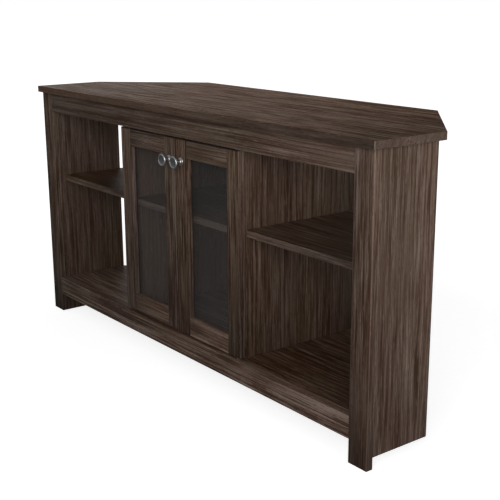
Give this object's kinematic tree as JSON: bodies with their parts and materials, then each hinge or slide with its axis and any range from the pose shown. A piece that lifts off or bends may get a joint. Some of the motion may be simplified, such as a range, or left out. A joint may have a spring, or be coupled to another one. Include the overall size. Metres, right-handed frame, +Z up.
{
  "type": "corner tv cabinet",
  "caption": "Low corner television cabinet in dark wood-grain board: cut rear corners, glazed centre doors with knobs, and open shelved bays on both sides.",
  "frame": {"origin": "middle of the floor rectangle that the whole object covers, knobs included; z = 0 is the floor", "axes": "+X along the front, towards the right as seen from the front; +Y from the front to the back; +Z up"},
  "size_m": [1.214, 0.391, 0.592],
  "materials": {
    "top_board": "dark walnut laminate, satin, grain along the width",
    "front_board": "dark walnut laminate, satin",
    "side_board": "dark walnut laminate, satin, upright grain",
    "inner_board": "dark walnut laminate, satin",
    "hardboard": "thin dark printed hardboard",
    "smoked_glass": "dark smoked clear glass",
    "chrome": "polished chrome",
    "steel": "zinc-plated steel",
    "nylon": "brown nylon",
    "black_plastic": "black moulded plastic"
  },
  "bodies": {
    "carcass": {"top_panel": "top_board", "left_front_stile": "front_board", "right_front_stile": "front_board", "left_outer_side": "side_board", "right_outer_side": "side_board", "left_inner_side": "inner_board", "right_inner_side": "inner_board", "top_front_rail": "front_board", "base_front_rail": "front_board", "bottom_panel": "inner_board", "rear_plinth": "inner_board", "centre_back_panel": "hardboard", "left_divider": "inner_board", "right_divider": "inner_board", "left_shelf": "inner_board", "right_shelf": "inner_board", "centre_shelf": "inner_board", "left_shelf_pin_outer_front": "steel", "left_shelf_pin_outer_rear": "steel", "left_shelf_pin_inner_front": "steel", "left_shelf_pin_inner_rear": "steel", "right_shelf_pin_outer_front": "steel", "right_shelf_pin_outer_rear": "steel", "right_shelf_pin_inner_front": "steel", "right_shelf_pin_inner_rear": "steel", "centre_shelf_pin_left_front": "steel", "centre_shelf_pin_left_rear": "steel", "centre_shelf_pin_right_front": "steel", "centre_shelf_pin_right_rear": "steel", "left_upper_pivot_pin": "steel", "left_lower_pivot_pin": "steel", "right_upper_pivot_pin": "steel", "right_lower_pivot_pin": "steel", "catch_housing": "black_plastic", "left_catch_magnet": "steel", "right_catch_magnet": "steel"},
    "left_door": {"left_door_hinge_stile": "front_board", "left_door_meeting_stile": "front_board", "left_door_top_rail": "front_board", "left_door_bottom_rail": "front_board", "left_door_glass": "smoked_glass", "left_door_glass_retainer": "black_plastic", "left_door_knob": "chrome", "left_door_knob_screw": "steel", "left_door_strike_plate": "steel", "left_door_upper_bushing": "nylon", "left_door_lower_bushing": "nylon"},
    "right_door": {"right_door_hinge_stile": "front_board", "right_door_meeting_stile": "front_board", "right_door_top_rail": "front_board", "right_door_bottom_rail": "front_board", "right_door_glass": "smoked_glass", "right_door_glass_retainer": "black_plastic", "right_door_knob": "chrome", "right_door_knob_screw": "steel", "right_door_strike_plate": "steel", "right_door_upper_bushing": "nylon", "right_door_lower_bushing": "nylon"}
  },
  "joints": [
    {"name": "left_door_hinge", "type": "hinge", "parent": "carcass", "child": "left_door", "pos_m": [-0.213, -0.1685, 0.31175], "axis": [0, 0, -1], "range_deg": [0, 110]},
    {"name": "right_door_hinge", "type": "hinge", "parent": "carcass", "child": "right_door", "pos_m": [0.213, -0.1685, 0.31175], "axis": [0, 0, 1], "range_deg": [0, 110]}
  ]
}
